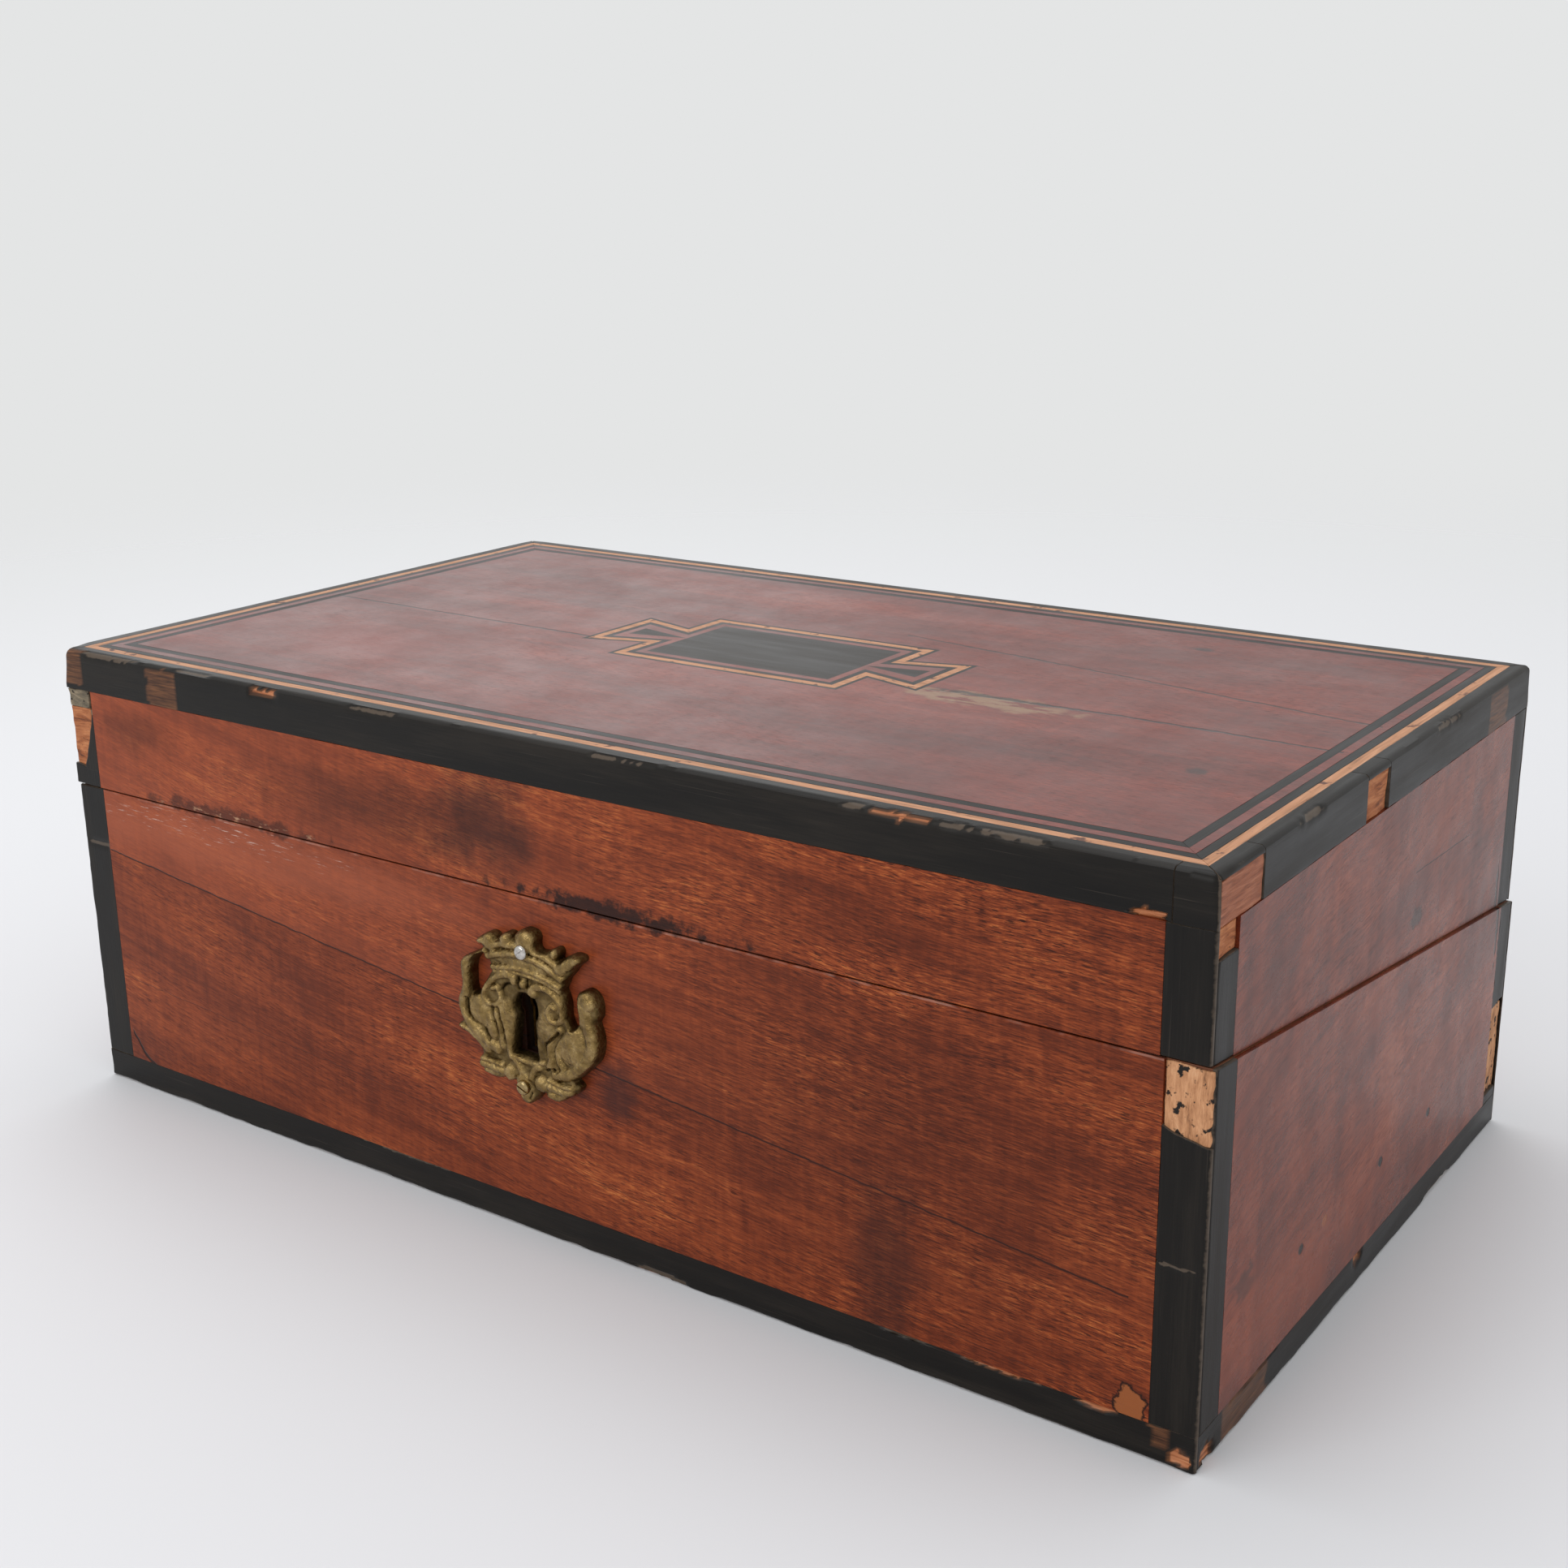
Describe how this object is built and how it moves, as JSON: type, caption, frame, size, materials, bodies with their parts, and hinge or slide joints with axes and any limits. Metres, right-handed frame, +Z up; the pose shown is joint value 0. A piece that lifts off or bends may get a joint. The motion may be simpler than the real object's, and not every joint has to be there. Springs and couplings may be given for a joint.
{
  "type": "writing slope",
  "caption": "Veneered wooden writing box, sawn on a slant, whose hinged lid opens flat into a leather-covered writing slope with pen tray, inkwells and lock.",
  "frame": {"origin": "middle of the underside of the bottom board", "axes": "+X to the right along the front, +Y to the back, +Z up, with the box shut"},
  "size_m": [0.4072, 0.238, 0.152],
  "materials": {
    "mahogany": "old French-polished mahogany veneer, rubbed and faded",
    "ebony": "ebony strips, worn grey at the edges",
    "boxwood": "polished boxwood line",
    "carcase_wood": "plain softwood and mahogany boards, old and bare",
    "leather": "dark green skiver with a blind border",
    "brass": "old lacquered brass, dark in the hollows",
    "glass": "clear pressed glass"
  },
  "bodies": {
    "base": {"base_front_veneer": "mahogany", "base_back_veneer": "mahogany", "base_side_veneers": "mahogany", "base_corner_strips": "ebony", "foot_bands": "ebony", "bottom_board": "carcase_wood", "base_front_board": "carcase_wood", "base_back_board": "carcase_wood", "base_left_board": "carcase_wood", "base_right_board": "carcase_wood", "partition": "carcase_wood", "base_ledgers": "carcase_wood", "base_hinge_rail": "carcase_wood", "dividers": "carcase_wood", "well_blocks": "carcase_wood", "pen_tray": "carcase_wood", "escutcheon": "brass", "escutcheon_screws": "brass", "hinge_base_leaves": "brass", "hinge_pins": "brass", "hinge_base_screws": "brass", "base_rail_leaves": "brass", "lock_case": "brass", "lock_screws": "brass", "inkwell_left": "glass", "inkwell_right": "glass"},
    "lid": {"lid_top_board": "carcase_wood", "lid_front_board": "carcase_wood", "lid_back_board": "carcase_wood", "lid_left_board": "carcase_wood", "lid_right_board": "carcase_wood", "lid_front_veneer": "mahogany", "lid_back_veneer": "mahogany", "lid_side_veneers": "mahogany", "lid_corner_strips": "ebony", "lid_edge_bands": "ebony", "top_field_veneer": "mahogany", "top_ebony_stringing": "ebony", "top_boxwood_stringing": "boxwood", "cartouche_ebony_lines": "ebony", "cartouche_boxwood_line": "boxwood", "cartouche_panel": "ebony", "lid_ledgers": "carcase_wood", "lid_hinge_rail": "carcase_wood", "lid_rail_leaves": "brass", "hinge_lid_leaves": "brass", "hinge_lid_screws": "brass", "link_plate": "brass", "link_plate_screws": "brass"},
    "base_flap": {"base_flap": "carcase_wood", "base_flap_leather": "leather", "base_flap_leaves": "brass"},
    "lid_flap": {"lid_flap": "carcase_wood", "lid_flap_leather": "leather", "lid_flap_leaves": "brass", "flap_bolt_plate": "brass"},
    "flap_bolt": {"flap_bolt": "brass"},
    "lock_bolt": {"lock_bolt": "brass"},
    "cap_left": {"inkwell_cap_left": "brass"},
    "cap_right": {"inkwell_cap_right": "brass"}
  },
  "joints": [
    {"name": "lid_hinge", "type": "hinge", "parent": "base", "child": "lid", "pos_m": [0, 0.1151, 0.076], "axis": [-1, 0, 0], "range_deg": [0, 180]},
    {"name": "base_flap_hinge", "type": "hinge", "parent": "base", "child": "base_flap", "pos_m": [0, 0.08834, 0.07803], "axis": [-1, 0, 0], "range_deg": [0, 60]},
    {"name": "lid_flap_hinge", "type": "hinge", "parent": "lid", "child": "lid_flap", "pos_m": [-0.0012, 0.08871, 0.08091], "axis": [1, 0, 0], "range_deg": [0, 60]},
    {"name": "flap_bolt_slide", "type": "slide", "parent": "lid_flap", "child": "flap_bolt", "axis": [0, -0.9916, 0.1296], "range_m": [0, 0.004]},
    {"name": "lock_bolt_slide", "type": "slide", "parent": "base", "child": "lock_bolt", "axis": [1, 0, 0], "range_m": [0, 0.005]},
    {"name": "cap_left_lift", "type": "slide", "parent": "base", "child": "cap_left", "axis": [0, 0, 1], "range_m": [0, 0.012]},
    {"name": "cap_right_lift", "type": "slide", "parent": "base", "child": "cap_right", "axis": [0, 0, 1], "range_m": [0, 0.012]}
  ],
  "couplings": [
    {"joint": "base_flap_hinge", "follows": "lid_hinge", "ratio": 0.33333},
    {"joint": "lid_flap_hinge", "follows": "lid_hinge", "ratio": 0.33333}
  ]
}
